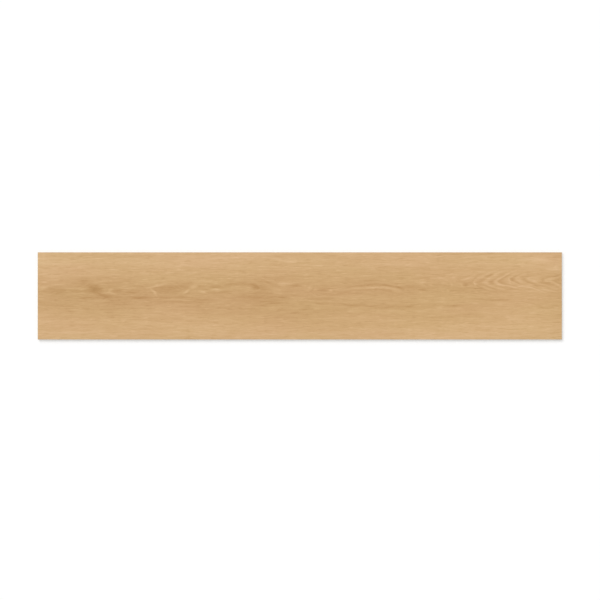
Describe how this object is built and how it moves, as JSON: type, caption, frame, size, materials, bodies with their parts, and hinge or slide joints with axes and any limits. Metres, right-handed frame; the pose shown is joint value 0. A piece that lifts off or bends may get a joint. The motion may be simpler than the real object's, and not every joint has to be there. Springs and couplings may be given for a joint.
{
  "type": "wood look porcelain plank tile",
  "caption": "Long, thin, flat porcelain plank with a matte printed oak face, ground square edges and a ribbed back, laid as a floor or wall covering.",
  "frame": {"origin": "middle of the back, on the plane of the rib tops that the tile beds on", "axes": "+X along the plank, +Y across it, +Z out of the printed face"},
  "size_m": [1.2, 0.2, 0.009],
  "materials": {
    "glazed_porcelain": "matte glaze printed with light oak grain"
  },
  "bodies": {
    "root": {"plank_tile": "glazed_porcelain"}
  },
  "joints": []
}
